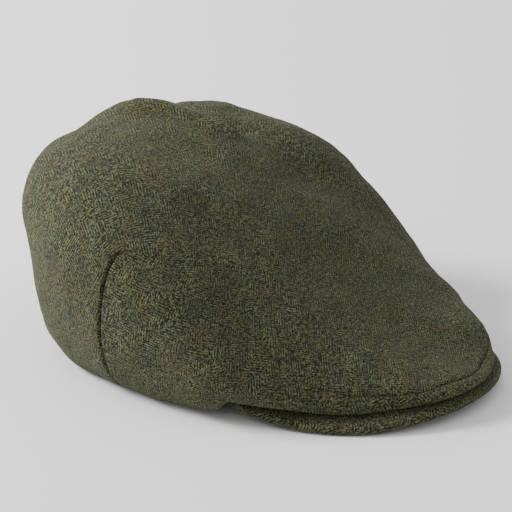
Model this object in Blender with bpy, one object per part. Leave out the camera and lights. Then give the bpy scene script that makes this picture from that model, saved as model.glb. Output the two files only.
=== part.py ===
"""Tweed flat cap: a top panel, two side panels and a cloth-covered peak.

Metres, +Z up. The wearer faces -Y, so the wearer's right is -X. The cap rests
on its rim and on the edge of its peak at Z = 0, and the origin lies under the
middle of its bounding box. Angles are in degrees about an upright axis through
the middle of the crown, from 0 at the front to 180 at the back, and every
table row is used on the right and on the left.
"""
import bmesh
import bpy
import numpy as np

# Crown
CROWN_WIDTH = 0.212           # measure of the sections below, about the crown's full width
CROWN_LENGTH = 0.270          # front fold to back bulge, the measure of the top's shares
CROWN_HEIGHT = 0.119          # table to the highest part of the top
CROWN_MIDDLE = 0.008          # middle of the crown behind the middle of the head opening
FOLD_HEIGHT = 0.008           # of the rolled fold that lies on the peak
FOLD_BULGE = 0.0035           # how far the fold rolls out past the line where it lies
CLOTH = 0.0024                # tweed with its lining
SEAM_GAP = 0.0003             # between two panels at a seam

# Peak
PEAK_WIDTH = 0.1690           # across the peak at its ends
PEAK_START = 0.0551           # from the middle of the head opening forward to the peak's ends
PEAK_DEPTH = 0.0984           # from the ends forward to the peak's front edge
PEAK_SHOW = 0.0115            # widest strip of the peak left clear in front of the fold
PEAK_THICKNESS = 0.0045
PEAK_EDGE = 0.0016            # rounding of the peak's outer edge
PEAK_ARCH = 0.009             # measure of the lifts of the peak's edge
PEAK_LIFT = 0.0002            # lowest point of the peak's edge above the table
PEAK_TILT = 0.22              # rise of the peak towards the head, per unit of depth
PEAK_BACK_RISE = 0.042        # how far the forehead edge curves forward of the ends
PEAK_END = 0.012              # length of the short ends of the peak at the temples
SEAT_GAP = 0.0003             # between the fold and the peak

# Half sections of the crown, from the front to the back. wide: radius of the widest
# line, rim: radius of the lower edge (shares of half the width). wide_z: height of the
# widest line, rim_z: height of the lower edge (shares of the height). full: how square
# the shoulder is. show: strip of peak in front of the fold (share of PEAK_SHOW). In
# front the fold follows the peak instead of wide, rim and rim_z.
SECTION = ("angle", "wide", "rim", "wide_z", "rim_z", "full", "show")
SECTIONS = [
    (0, 1.50, 1.20, 0.00, 0.040, 4.5, 0.45),
    (10, 1.47, 1.18, 0.00, 0.040, 5.0, 0.62),
    (20, 1.38, 1.14, 0.00, 0.040, 5.4, 1.00),
    (30, 1.28, 1.09, 0.02, 0.040, 5.2, 1.03),
    (40, 1.20, 1.04, 0.07, 0.040, 4.4, 0.86),
    (47, 1.155, 1.01, 0.13, 0.040, 3.8, 0.45),
    (54, 1.12, 0.985, 0.20, 0.038, 3.4, 0.04),
    (62, 1.075, 0.91, 0.28, 0.020, 3.4, 0.00),
    (72, 1.035, 0.84, 0.36, 0.006, 3.6, 0.00),
    (82, 1.02, 0.79, 0.41, 0.000, 3.9, 0.00),
    (100, 1.00, 0.76, 0.45, 0.000, 4.4, 0.00),
    (120, 1.005, 0.79, 0.48, 0.000, 4.8, 0.00),
    (140, 1.015, 0.81, 0.52, 0.000, 5.0, 0.00),
    (160, 1.03, 0.82, 0.55, 0.000, 5.2, 0.00),
    (180, 1.04, 0.83, 0.56, 0.000, 5.2, 0.00),
]
TEMPLE_RIM = (53.5, 58.0)     # angles between which the lower edge comes down off the peak
TEMPLE_WALL = (22.0, 62.0)    # angles over which the low front wall grows into the side

# Centre line of the top, front to back. along: share of half the length from the
# crown's middle. rise: share of the height above the front fold.
RIDGE = [
    (-1.20, 0.000), (-1.00, 0.065), (-0.80, 0.165), (-0.55, 0.350), (-0.30, 0.590),
    (-0.05, 0.800), (0.20, 0.930), (0.45, 0.988), (0.70, 1.000), (0.95, 0.976),
]

# Edge of the peak about its own middle: angle from the front, lift as a share of
# PEAK_ARCH.
PEAK_LIFTS = [(0, 0.62), (25, 0.42), (50, 0.0), (70, 0.13), (90, 0.60), (115, 1.00)]

# Hollows (positive depth) and swellings (negative) along a line from one point to
# another. x: share of half the width, y: share of half the length from the crown's
# middle, z: share of the height, width: share of half the width, depth: share of the
# height.
DENT_FADE = 0.016             # the hollows and swellings die out over this above the lower edge
DENT = ("name", "x0", "y0", "z0", "x1", "y1", "z1", "width", "depth")
DENTS = [
    ("back notch", -0.05, 0.69, 0.90, -0.12, 0.45, 0.96, 0.13, 0.022),
    ("back hollow", -0.50, 0.72, 0.46, -0.60, 0.64, 0.26, 0.22, 0.016),
    ("back swelling", -0.30, 0.71, 0.78, -0.46, 0.70, 0.66, 0.28, -0.024),
    ("rear hump", 0.06, 0.66, 0.93, 0.26, 0.54, 0.96, 0.17, -0.026),
    ("left rear hump", 0.50, 0.47, 0.90, 0.62, 0.37, 0.90, 0.14, -0.028),
    ("left hollow", 0.72, 0.24, 0.89, 0.80, 0.14, 0.85, 0.18, 0.024),
    ("top valley", 0.40, 0.62, 0.95, 0.44, -0.18, 0.74, 0.16, 0.038),
    ("left shoulder", 0.80, 0.15, 0.78, 0.84, -0.02, 0.70, 0.26, -0.030),
    ("left front", 0.64, -0.76, 0.20, 0.44, -0.96, 0.16, 0.18, -0.040),
]

# Long seam between the top panel and a side panel: angle, and the way along the
# section from the crown's middle out to the seam (share of half the length).
LONG_SEAM = [
    (0, 1.318), (8, 1.290), (13, 1.268), (18, 1.228), (22, 1.193), (27, 1.155),
    (30.5, 1.122), (34, 1.090), (40, 1.000), (43, 0.940), (47, 0.880), (52, 0.812),
    (57, 0.760), (63, 0.715), (70, 0.695), (76, 0.686), (83, 0.705), (90, 0.760),
]
# Rear seam of a side panel: share of the way from the rim to the seam's top, angle.
REAR_SEAM = [(0.0, 92.2), (0.3, 92.7), (0.6, 92.1), (0.85, 91.4), (1.0, 90.0)]

# Mesh density
STRIP_COLUMNS = 18            # from the middle of the front to the peak's end
TEMPLE_COLUMNS = 4            # where the lower edge comes down off the peak
CHEEK_COLUMNS = 8             # from there to the rear seam
BACK_COLUMNS = 38             # round the back between the rear seams
TOP_ROWS = 15                 # from the long seam to the crown's middle
WALL_ROWS = 9                 # from the lower edge to the seam corners
PEAK_COLUMNS = 56
PEAK_ROWS = 6

HALF_WIDTH = CROWN_WIDTH / 2
HALF_LENGTH = CROWN_LENGTH / 2


def curve(xs, ys, x):
    """Smooth curve through the points (xs, ys), its slopes taken from the neighbours."""
    xs, ys = np.asarray(xs, float), np.asarray(ys, float)
    x = np.clip(np.asarray(x, float), xs[0], xs[-1])
    step = np.diff(xs)
    rate = np.diff(ys) / step
    slope = np.concatenate([
        rate[:1],
        (rate[:-1] * step[1:] + rate[1:] * step[:-1]) / (step[:-1] + step[1:]),
        rate[-1:],
    ])
    i = np.clip(np.searchsorted(xs, x, side="right") - 1, 0, len(step) - 1)
    t = (x - xs[i]) / step[i]
    return (ys[i] * (1 + 2 * t) * (1 - t) ** 2 + slope[i] * step[i] * t * (1 - t) ** 2
            + ys[i + 1] * t * t * (3 - 2 * t) + slope[i + 1] * step[i] * t * t * (t - 1))


def ease(low, high, x):
    """0 below low, 1 above high, smooth between."""
    s = np.clip((x - low) / (high - low), 0, 1)
    return s * s * (3 - 2 * s)


def from_front(angle):
    """Angle from the front, 0 to 180, on either side."""
    return np.abs((np.asarray(angle, float) + 180.0) % 360.0 - 180.0)


def section(name, angle):
    """One column of SECTIONS at any angle, mirrored about the front and the back."""
    k = SECTION.index(name)
    rows = [(-SECTIONS[1][0], SECTIONS[1][k])] + [(r[0], r[k]) for r in SECTIONS]
    rows.append((360 - SECTIONS[-2][0], SECTIONS[-2][k]))
    return curve([r[0] for r in rows], [r[1] for r in rows], from_front(angle))


def peak_outline(turn):
    """Outer edge of the peak at an angle about its own middle, 0 at the front."""
    turn = np.radians(turn)
    return PEAK_WIDTH / 2 * np.sin(turn), -PEAK_START - PEAK_DEPTH * np.cos(turn)


def peak_place(x, y):
    """Angle of (x, y) about the peak's middle and its distance inward from the edge."""
    across, ahead = np.abs(x) / (PEAK_WIDTH / 2), (-PEAK_START - y) / PEAK_DEPTH
    reach = np.maximum(np.hypot(across, ahead), 1e-6)
    length = np.hypot(x, -PEAK_START - y)
    return np.degrees(np.arctan2(across, ahead)), np.maximum(length / reach - length, 0.0)


def peak_underside(x, y):
    """Height of the peak's underside, or of the same slope carried on past its ends."""
    turn, inset = peak_place(x, y)
    rows = [(-PEAK_LIFTS[1][0], PEAK_LIFTS[1][1])] + PEAK_LIFTS
    lift = curve([r[0] for r in rows], [r[1] for r in rows], turn)
    return PEAK_LIFT + PEAK_ARCH * lift + PEAK_TILT * inset


def peak_radius(angle):
    """Distance of the peak's outer edge from the crown's middle at each angle."""
    x, y = peak_outline(np.linspace(0, 115, 461))
    turn = np.degrees(np.arctan2(x, CROWN_MIDDLE - y))
    return np.interp(from_front(angle), turn, np.hypot(x, CROWN_MIDDLE - y))


def low_edge(angle):
    """Radius and height of the crown's lower edge, on the peak in front, then the rim."""
    away = ease(TEMPLE_RIM[0], TEMPLE_RIM[1], from_front(angle))
    fold = peak_radius(angle) - PEAK_SHOW * section("show", angle)
    radius = fold * (1 - away) + section("rim", angle) * HALF_WIDTH * away
    turn = np.radians(angle)
    x, y = fold * np.sin(turn), CROWN_MIDDLE - fold * np.cos(turn)
    on_peak = peak_underside(x, y) + PEAK_THICKNESS + SEAT_GAP
    rim_z = np.maximum(section("rim_z", angle), 0) * CROWN_HEIGHT
    height = on_peak * (1 - away) + rim_z * away
    return radius, height, fold, on_peak


def profiles(angle):
    """Fine half sections from the lower edge to the crown's middle: radius and height."""
    low, low_z, fold, on_peak = low_edge(angle)
    side = ease(TEMPLE_WALL[0], TEMPLE_WALL[1], from_front(angle))
    wide = (fold + FOLD_BULGE) * (1 - side) + section("wide", angle) * HALF_WIDTH * side
    wide_z = (on_peak + FOLD_HEIGHT / 2) * (1 - side) + section("wide_z", angle) * CROWN_HEIGHT
    wide_z = np.maximum(wide_z, low_z + FOLD_HEIGHT / 2)
    full = section("full", angle)
    up = np.linspace(0, np.pi / 2, 60)[None, :-1]
    wall_r = low[:, None] + (wide - low)[:, None] * np.sin(up)
    wall_z = wide_z[:, None] - (wide_z - low_z)[:, None] * np.cos(up)
    share = np.cos(np.linspace(0, np.pi / 2, 240))[None, :]
    top_r = wide[:, None] * share
    along = -top_r * np.cos(np.radians(angle))[:, None] / HALF_LENGTH
    fold_top = low_edge(np.zeros(1))[1][0] + FOLD_HEIGHT
    rise = curve([r[0] for r in RIDGE], [r[1] for r in RIDGE], along)
    ridge = fold_top + rise * (CROWN_HEIGHT - fold_top)
    lift = np.sqrt(np.clip(1 - share ** full[:, None], 0, 1))
    top_z = wide_z[:, None] + (ridge - wide_z[:, None]) * lift
    return np.concatenate([wall_r, top_r], 1), np.concatenate([wall_z, top_z], 1)


def normals_of(points):
    """Outward normals of the ring of sections, one shared normal at the middle."""
    ring = np.roll(points, -1, 0) - np.roll(points, 1, 0)
    up = np.gradient(points, axis=1)
    normal = np.cross(ring, up)
    normal[:, -1] = normal[:, -3].sum(0)
    return normal / np.maximum(np.linalg.norm(normal, axis=-1, keepdims=True), 1e-12)


def dent_depth(points, rise):
    """How far each point moves inward for the hollows and swellings of DENTS, where
    rise is its way up the section from the lower edge."""
    scale = np.array([HALF_WIDTH, HALF_LENGTH, CROWN_HEIGHT])
    shift = np.array([0.0, CROWN_MIDDLE, 0.0])
    depth = np.zeros(points.shape[:-1])
    for row in DENTS:
        dent = dict(zip(DENT, row))
        start = np.array([dent["x0"], dent["y0"], dent["z0"]]) * scale + shift
        line = np.array([dent["x1"], dent["y1"], dent["z1"]]) * scale + shift - start
        along = np.clip(((points - start) @ line) / (line @ line), 0, 1)
        gap = np.linalg.norm(points - start - along[..., None] * line, axis=-1)
        spread = dent["width"] * HALF_WIDTH
        depth += dent["depth"] * CROWN_HEIGHT * np.exp(-(gap / spread) ** 2)
    return depth * ease(0, DENT_FADE, rise)


RING_ANGLES = np.arange(0.0, 360.0, 1.0)
RING_SHARES = np.linspace(0.0, 1.0, 241)


def crown_shell():
    """Points, normals and section lengths of the crown's outer face on a fine grid."""
    radius, height = profiles(RING_ANGLES)
    step = np.hypot(np.diff(radius, axis=1), np.diff(height, axis=1))
    length = np.concatenate([np.zeros((len(radius), 1)), np.cumsum(step, 1)], 1)
    r, z = np.empty((2, len(radius), len(RING_SHARES)))
    for i, total in enumerate(length[:, -1]):
        r[i] = np.interp(RING_SHARES * total, length[i], radius[i])
        z[i] = np.interp(RING_SHARES * total, length[i], height[i])
    turn = np.radians(RING_ANGLES)[:, None]
    points = np.stack([r * np.sin(turn), CROWN_MIDDLE - r * np.cos(turn), z], -1)
    rise = RING_SHARES[None, :] * length[:, -1:]
    points = points - normals_of(points) * dent_depth(points, rise)[..., None]
    return points, normals_of(points), length[:, -1]


SHELL_POINTS, SHELL_NORMALS, SHELL_LENGTHS = crown_shell()


def on_shell(table, angle, share):
    """Value of a grid of the shell at any angle and share of the way up."""
    angle, share = np.broadcast_arrays(np.asarray(angle, float) % 360.0, share)
    i = np.floor(angle).astype(int) % len(RING_ANGLES)
    u = (angle - np.floor(angle))[..., None]
    place = np.clip(share, 0, 1) * (len(RING_SHARES) - 1)
    j = np.clip(np.floor(place).astype(int), 0, len(RING_SHARES) - 2)
    v = (place - j)[..., None]
    n = (i + 1) % len(RING_ANGLES)
    return ((table[i, j] * (1 - u) + table[n, j] * u) * (1 - v)
            + (table[i, j + 1] * (1 - u) + table[n, j + 1] * u) * v)


def cloth(angle, share):
    """Outer and inner face of the crown's cloth. The lower edge is cut level on the
    rim and to the peak's slope in front, so it lies flat on what carries it."""
    outer = on_shell(SHELL_POINTS, angle, share)
    normal = on_shell(SHELL_NORMALS, angle, share)
    normal = normal / np.linalg.norm(normal, axis=-1, keepdims=True)
    inner = outer - normal * CLOTH
    edge = np.broadcast_to(share, outer.shape[:-1]) <= 1e-9
    flat = normal * np.array([1.0, 1.0, 0.0])
    flat = flat / np.maximum(np.linalg.norm(flat, axis=-1, keepdims=True), 1e-9)
    level = outer - flat * CLOTH
    seat = peak_underside(level[..., 0], level[..., 1]) + PEAK_THICKNESS + SEAT_GAP
    front = 1 - ease(TEMPLE_RIM[0], TEMPLE_RIM[1], from_front(angle))
    rise = np.maximum(seat - outer[..., 2], 0) * front
    level[..., 2] = outer[..., 2] + rise
    inner = np.where(edge[..., None], level, inner)
    return outer, inner


def seam_share(angle):
    """Share of the way up at which the long seam crosses each angle."""
    rows = [(-LONG_SEAM[1][0], LONG_SEAM[1][1])] + LONG_SEAM
    reach = curve([r[0] for r in rows], [r[1] for r in rows], from_front(angle))
    length = np.interp(from_front(angle), RING_ANGLES[:181], SHELL_LENGTHS[:181])
    return 1 - reach * HALF_LENGTH / length


def half_gap_share(angle):
    """Half of the seam's gap, measured square to the seam, as a share of the section."""
    share, step = seam_share(angle), 0.002
    up = (on_shell(SHELL_POINTS, angle, share + step)
          - on_shell(SHELL_POINTS, angle, share - step)) / (2 * step)
    along = (on_shell(SHELL_POINTS, angle + 1, seam_share(angle + 1))
             - on_shell(SHELL_POINTS, angle - 1, seam_share(angle - 1)))
    along = along / np.linalg.norm(along, axis=-1, keepdims=True)
    return SEAM_GAP / 2 / np.linalg.norm(np.cross(up, along), axis=-1)


CORNER_ANGLE = REAR_SEAM[-1][1]
CORNER_SHARE = float(seam_share(np.array(CORNER_ANGLE)))
HALF_GAP_ANGLE = np.degrees(SEAM_GAP / 2 / HALF_WIDTH)


def rear_seam_angle(share):
    return curve([r[0] for r in REAR_SEAM], [r[1] for r in REAR_SEAM], share / CORNER_SHARE)


def add_object(name, bm, colour, roughness, parent):
    """Finish the mesh, give it its own material and put it under the cap's empty."""
    bmesh.ops.remove_doubles(bm, verts=bm.verts, dist=1e-6)
    bmesh.ops.recalc_face_normals(bm, faces=bm.faces)
    mesh = bpy.data.meshes.new(name)
    bm.to_mesh(mesh)
    bm.free()
    mesh.shade_smooth()
    mesh.set_sharp_from_angle(angle=np.radians(50))
    material = bpy.data.materials.new(name + "_cloth")
    material.use_nodes = True
    shader = material.node_tree.nodes["Principled BSDF"]
    shader.inputs["Base Color"].default_value = (*colour, 1.0)
    shader.inputs["Roughness"].default_value = roughness
    shader.inputs["Metallic"].default_value = 0.0
    mesh.materials.append(material)
    piece = bpy.data.objects.new(name, mesh)
    piece.parent = parent
    bpy.context.collection.objects.link(piece)
    return piece


def grid_faces(bm, grid, flip=False):
    """Quads over a grid of vertices, leaving out corners that fall together."""
    for i in range(len(grid) - 1):
        for j in range(len(grid[0]) - 1):
            ring = [grid[i][j], grid[i + 1][j], grid[i + 1][j + 1], grid[i][j + 1]]
            ring = [v for k, v in enumerate(ring) if v is not ring[k - 1]]
            if len(ring) > 2:
                bm.faces.new(ring[::-1] if flip else ring)


def vertex_grid(bm, points):
    return [[bm.verts.new(p) for p in row] for row in points]


def edge_wall(bm, outer, inner):
    """Strip between the outer and the inner face along an open edge."""
    for a, b, c, d in zip(outer[:-1], outer[1:], inner[1:], inner[:-1]):
        bm.faces.new([a, b, c, d])


def front_angles():
    """Columns from the middle of the front to the rear seam's top corner."""
    return np.concatenate([
        np.linspace(0, TEMPLE_RIM[0], STRIP_COLUMNS + 1)[:-1],
        np.linspace(TEMPLE_RIM[0], TEMPLE_RIM[1], TEMPLE_COLUMNS + 1)[:-1],
        np.linspace(TEMPLE_RIM[1], CORNER_ANGLE, CHEEK_COLUMNS + 1),
    ])


def side_panel(name, side, colour, parent):
    """One side panel: from the lower edge up to the long seam, and from the rear seam
    forward to the middle of the front."""
    bm = bmesh.new()
    columns = front_angles()[:, None]
    up = np.linspace(0, 1, WALL_ROWS + 1)[None, :]
    rear = rear_seam_angle(up * CORNER_SHARE) - HALF_GAP_ANGLE
    fixed = TEMPLE_RIM[1]
    cheek = fixed + (columns - fixed) * (rear - fixed) / (CORNER_ANGLE - fixed)
    angle = np.where(columns > fixed, cheek, np.maximum(columns, HALF_GAP_ANGLE))
    share = up * (seam_share(columns) - half_gap_share(columns))
    outer, inner = cloth(side * angle, share)
    faces = [vertex_grid(bm, outer), vertex_grid(bm, inner)]
    grid_faces(bm, faces[0])
    grid_faces(bm, faces[1], flip=True)
    for pick in (lambda g: g[0], lambda g: g[-1],
                 lambda g: [row[0] for row in g], lambda g: [row[-1] for row in g]):
        edge_wall(bm, pick(faces[0]), pick(faces[1]))
    return add_object(name, bm, colour, 0.95, parent)


def top_panel(name, colour, parent):
    """The top panel: over the crown from the front strip to the rear seams, and
    down the back to the rim between them."""
    bm = bmesh.new()
    half = front_angles()
    front = np.concatenate([-half[:0:-1], half])
    shift = np.where(np.abs(front) > CORNER_ANGLE - 1e-6, HALF_GAP_ANGLE, 0)
    back = np.linspace(CORNER_ANGLE + HALF_GAP_ANGLE, 360 - CORNER_ANGLE - HALF_GAP_ANGLE,
                       BACK_COLUMNS + 1)
    ring = np.concatenate([(front + np.sign(front) * shift)[:-1], back[:-1]])
    start = np.full(len(ring), CORNER_SHARE)
    start[:len(front)] = seam_share(front) + half_gap_share(front)
    start[[0, len(front) - 1]] = CORNER_SHARE
    rows = np.linspace(0, 1, TOP_ROWS + 1)[None, :]
    share = start[:, None] + rows * (1 - start[:, None])
    outer, inner = cloth(ring[:, None] + 0 * share, share)
    tops = []
    for points, flip in ((outer, False), (inner, True)):
        grid = vertex_grid(bm, points[:, :-1])
        middle = bm.verts.new(points[:, -1].mean(0))
        grid = [row + [middle] for row in grid]
        grid.append(grid[0])
        grid_faces(bm, grid, flip)
        tops.append(grid)
    up = np.linspace(0, 1, WALL_ROWS + 1)[None, :]
    across = np.linspace(0, 1, BACK_COLUMNS + 1)[:, None]
    rear = rear_seam_angle(up * CORNER_SHARE) + HALF_GAP_ANGLE
    angle = rear + across * (360 - 2 * rear)
    outer, inner = cloth(angle, up * CORNER_SHARE + 0 * angle)
    first = len(front) - 1
    skirts = []
    for points, flip, grid in ((outer, False, tops[0]), (inner, True, tops[1])):
        skirt = vertex_grid(bm, points[:, :-1])
        skirt = [row + [grid[first + k][0]] for k, row in enumerate(skirt)]
        grid_faces(bm, skirt, flip)
        skirts.append(skirt)
    edge_wall(bm, [row[0] for row in tops[0][:first + 1]],
              [row[0] for row in tops[1][:first + 1]])
    for pick in (lambda g: g[0], lambda g: g[-1], lambda g: [row[0] for row in g]):
        edge_wall(bm, pick(skirts[0]), pick(skirts[1]))
    return add_object(name, bm, colour, 0.95, parent)


def peak(name, colour, parent):
    """The peak: a thin crescent with a rounded outer edge, tilted down away from
    the head, its hollow side forming the front of the head opening."""
    bm = bmesh.new()
    turn = np.linspace(-90, 90, PEAK_COLUMNS + 1)
    edge_x, edge_y = peak_outline(turn)
    lean = PEAK_END * np.sqrt(0.5)
    back_x = np.sin(np.radians(turn)) * (PEAK_WIDTH / 2 - lean)
    back_y = -PEAK_START + lean - PEAK_BACK_RISE * np.cos(np.radians(turn))
    chord = np.hypot(back_x - edge_x, back_y - edge_y)
    # rows: share of the way back, inset at the rounded edge, share of the thickness
    across = np.linspace(0, 1, PEAK_ROWS + 1)
    rows = [(s, PEAK_EDGE, 1.0) for s in across[::-1]]
    rows += [(0.0, PEAK_EDGE * 0.25, 0.8), (0.0, 0.0, 0.5), (0.0, PEAK_EDGE * 0.25, 0.2)]
    rows += [(s, PEAK_EDGE, 0.0) for s in across]
    loops = []
    for back, inset, level in rows:
        share = back + (1 - back) * inset / chord
        x = edge_x + (back_x - edge_x) * share
        y = edge_y + (back_y - edge_y) * share
        z = peak_underside(x, y) + level * PEAK_THICKNESS
        loops.append([bm.verts.new(p) for p in np.stack([x, y, z], -1)])
    loops.append(loops[0])
    grid_faces(bm, loops)
    for k in (0, -1):
        bm.faces.new([loop[k] for loop in loops[:-1]])
    return add_object(name, bm, colour, 0.95, parent)


def main():
    for piece in list(bpy.data.objects):
        bpy.data.objects.remove(piece)
    cap = bpy.data.objects.new("flat_cap", None)
    bpy.context.collection.objects.link(cap)
    pieces = [
        top_panel("top_panel", (0.072, 0.075, 0.043), cap),
        side_panel("side_panel_right", -1, (0.075, 0.078, 0.046), cap),
        side_panel("side_panel_left", 1, (0.075, 0.078, 0.046), cap),
        peak("peak", (0.066, 0.070, 0.040), cap),
    ]
    corners = np.array([v.co for piece in pieces for v in piece.data.vertices])
    low, high = corners.min(0), corners.max(0)
    cap.location = (-(low[0] + high[0]) / 2, -(low[1] + high[1]) / 2, -low[2])


main()
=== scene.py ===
"""Looks of an olive herringbone tweed flat cap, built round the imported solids.

The crown's and the peak's shapes follow the same tables as the solids, on much finer
grids, with rounded hems, seam furrows and soft unevenness of the cloth. The tweed is a
procedural material that reads each piece's UV map: U across the stripes and V along
them, in metres of cloth. Angles are in degrees from the front about the crown's middle.
"""

import bmesh
import bpy
import numpy as np
from mathutils import Matrix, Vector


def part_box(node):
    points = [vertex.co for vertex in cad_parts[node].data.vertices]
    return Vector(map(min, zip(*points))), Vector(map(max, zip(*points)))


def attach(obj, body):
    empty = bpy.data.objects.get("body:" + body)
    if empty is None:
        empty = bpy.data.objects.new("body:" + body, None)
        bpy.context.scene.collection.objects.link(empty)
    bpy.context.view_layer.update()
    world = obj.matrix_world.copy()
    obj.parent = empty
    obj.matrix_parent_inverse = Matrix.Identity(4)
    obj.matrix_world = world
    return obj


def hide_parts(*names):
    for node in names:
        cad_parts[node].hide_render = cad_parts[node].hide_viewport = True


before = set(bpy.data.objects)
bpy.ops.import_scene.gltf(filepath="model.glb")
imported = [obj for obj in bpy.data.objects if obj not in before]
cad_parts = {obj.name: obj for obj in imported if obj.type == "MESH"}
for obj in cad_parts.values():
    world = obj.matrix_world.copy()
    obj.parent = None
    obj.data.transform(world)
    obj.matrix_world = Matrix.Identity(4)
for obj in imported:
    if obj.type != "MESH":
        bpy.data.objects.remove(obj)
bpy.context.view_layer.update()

# Crown
CROWN_WIDTH = 0.212           # measure of the sections below, about the crown's full width
CROWN_LENGTH = 0.270          # front fold to back bulge, the measure of the top's shares
CROWN_HEIGHT = 0.119          # table to the highest part of the top
CROWN_MIDDLE = 0.008          # middle of the crown behind the middle of the head opening
FOLD_HEIGHT = 0.008           # of the rolled fold that lies on the peak
FOLD_BULGE = 0.0035           # how far the fold rolls out past the line where it lies
CLOTH = 0.0024                # tweed with its lining
SEAM_GAP = 0.00006            # between two panels at a seam, drawn tighter than in the solids

# Peak
PEAK_WIDTH = 0.1690           # across the peak at its ends
PEAK_START = 0.0551           # from the middle of the head opening forward to the peak's ends
PEAK_DEPTH = 0.0984           # from the ends forward to the peak's front edge
PEAK_SHOW = 0.0115            # widest strip of the peak left clear in front of the fold
PEAK_THICKNESS = 0.0045
PEAK_ARCH = 0.009             # measure of the lifts of the peak's edge
PEAK_LIFT = 0.0002            # lowest point of the peak's edge above the table
PEAK_TILT = 0.22              # rise of the peak towards the head, per unit of depth
PEAK_BACK_RISE = 0.042        # how far the forehead edge curves forward of the ends
PEAK_END = 0.012              # length of the short ends of the peak at the temples
SEAT_GAP = 0.0003             # between the fold and the peak

# Half sections of the crown, from the front to the back. wide: radius of the widest
# line, rim: radius of the lower edge (shares of half the width). wide_z: height of the
# widest line, rim_z: height of the lower edge (shares of the height). full: how square
# the shoulder is. show: strip of peak in front of the fold (share of PEAK_SHOW). In
# front the fold follows the peak instead of wide, rim and rim_z.
SECTION = ("angle", "wide", "rim", "wide_z", "rim_z", "full", "show")
SECTIONS = [
    (0, 1.50, 1.20, 0.00, 0.040, 4.5, 0.45),
    (10, 1.47, 1.18, 0.00, 0.040, 5.0, 0.62),
    (20, 1.38, 1.14, 0.00, 0.040, 5.4, 1.00),
    (30, 1.28, 1.09, 0.02, 0.040, 5.2, 1.03),
    (40, 1.20, 1.04, 0.07, 0.040, 4.4, 0.86),
    (47, 1.155, 1.01, 0.13, 0.040, 3.8, 0.45),
    (54, 1.12, 0.985, 0.20, 0.038, 3.4, 0.04),
    (62, 1.075, 0.91, 0.28, 0.020, 3.4, 0.00),
    (72, 1.035, 0.84, 0.36, 0.006, 3.6, 0.00),
    (82, 1.02, 0.79, 0.41, 0.000, 3.9, 0.00),
    (100, 1.00, 0.76, 0.45, 0.000, 4.4, 0.00),
    (120, 1.005, 0.79, 0.48, 0.000, 4.8, 0.00),
    (140, 1.015, 0.81, 0.52, 0.000, 5.0, 0.00),
    (160, 1.03, 0.82, 0.55, 0.000, 5.2, 0.00),
    (180, 1.04, 0.83, 0.56, 0.000, 5.2, 0.00),
]
TEMPLE_RIM = (53.5, 58.0)     # angles between which the lower edge comes down off the peak
TEMPLE_WALL = (22.0, 62.0)    # angles over which the low front wall grows into the side

# Centre line of the top, front to back. along: share of half the length from the
# crown's middle. rise: share of the height above the front fold.
RIDGE = [
    (-1.20, 0.000), (-1.00, 0.065), (-0.80, 0.165), (-0.55, 0.350), (-0.30, 0.590),
    (-0.05, 0.800), (0.20, 0.930), (0.45, 0.988), (0.70, 1.000), (0.95, 0.976),
]

# Edge of the peak about its own middle: angle from the front, lift as a share of
# PEAK_ARCH.
PEAK_LIFTS = [(0, 0.62), (25, 0.42), (50, 0.0), (70, 0.13), (90, 0.60), (115, 1.00)]

# Hollows (positive depth) and swellings (negative) along a line from one point to
# another. x: share of half the width, y: share of half the length from the crown's
# middle, z: share of the height, width: share of half the width, depth: share of the
# height.
DENT_FADE = 0.016             # the hollows and swellings die out over this above the lower edge
DENT = ("name", "x0", "y0", "z0", "x1", "y1", "z1", "width", "depth")
DENTS = [
    ("back notch", -0.05, 0.69, 0.90, -0.12, 0.45, 0.96, 0.13, 0.022),
    ("back hollow", -0.50, 0.72, 0.46, -0.60, 0.64, 0.26, 0.22, 0.016),
    ("back swelling", -0.30, 0.71, 0.78, -0.46, 0.70, 0.66, 0.28, -0.024),
    ("rear hump", 0.06, 0.66, 0.93, 0.26, 0.54, 0.96, 0.17, -0.026),
    ("left rear hump", 0.50, 0.47, 0.90, 0.62, 0.37, 0.90, 0.14, -0.028),
    ("left hollow", 0.72, 0.24, 0.89, 0.80, 0.14, 0.85, 0.18, 0.024),
    ("top valley", 0.40, 0.62, 0.95, 0.44, -0.18, 0.74, 0.16, 0.038),
    ("left shoulder", 0.80, 0.15, 0.78, 0.84, -0.02, 0.70, 0.26, -0.030),
    ("left front", 0.64, -0.76, 0.20, 0.44, -0.96, 0.16, 0.18, -0.040),
]

# Sharper folds of the cloth on the top, with the same columns.
FOLDS = [
    ("crease ridge", 0.12, 0.50, 0.99, 0.25, 0.12, 0.91, 0.068, -0.032),
    ("near hump", 0.05, 0.65, 0.95, 0.26, 0.48, 0.97, 0.10, -0.010),
    ("far hump", 0.58, 0.39, 0.93, 0.72, 0.15, 0.87, 0.14, 0.010),
    ("left back edge", -0.52, 0.67, 0.70, -0.38, 0.70, 0.82, 0.16, -0.022),
    ("left top flat", -0.30, 0.66, 0.89, -0.14, 0.64, 0.93, 0.11, 0.024),
    ("crease valley", 0.34, 0.56, 0.93, 0.34, 0.14, 0.89, 0.070, 0.040),
    ("near hollow", -0.30, 0.40, 0.97, -0.10, 0.16, 0.94, 0.14, 0.010),
    ("back fold", -0.42, 0.62, 0.88, -0.62, 0.42, 0.88, 0.07, 0.008),
    ("corner gather", -0.87, 0.02, 0.72, -0.80, -0.08, 0.76, 0.020, 0.005),
    ("corner gather", -0.90, -0.06, 0.66, -0.84, -0.13, 0.67, 0.022, 0.004),
]

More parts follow.
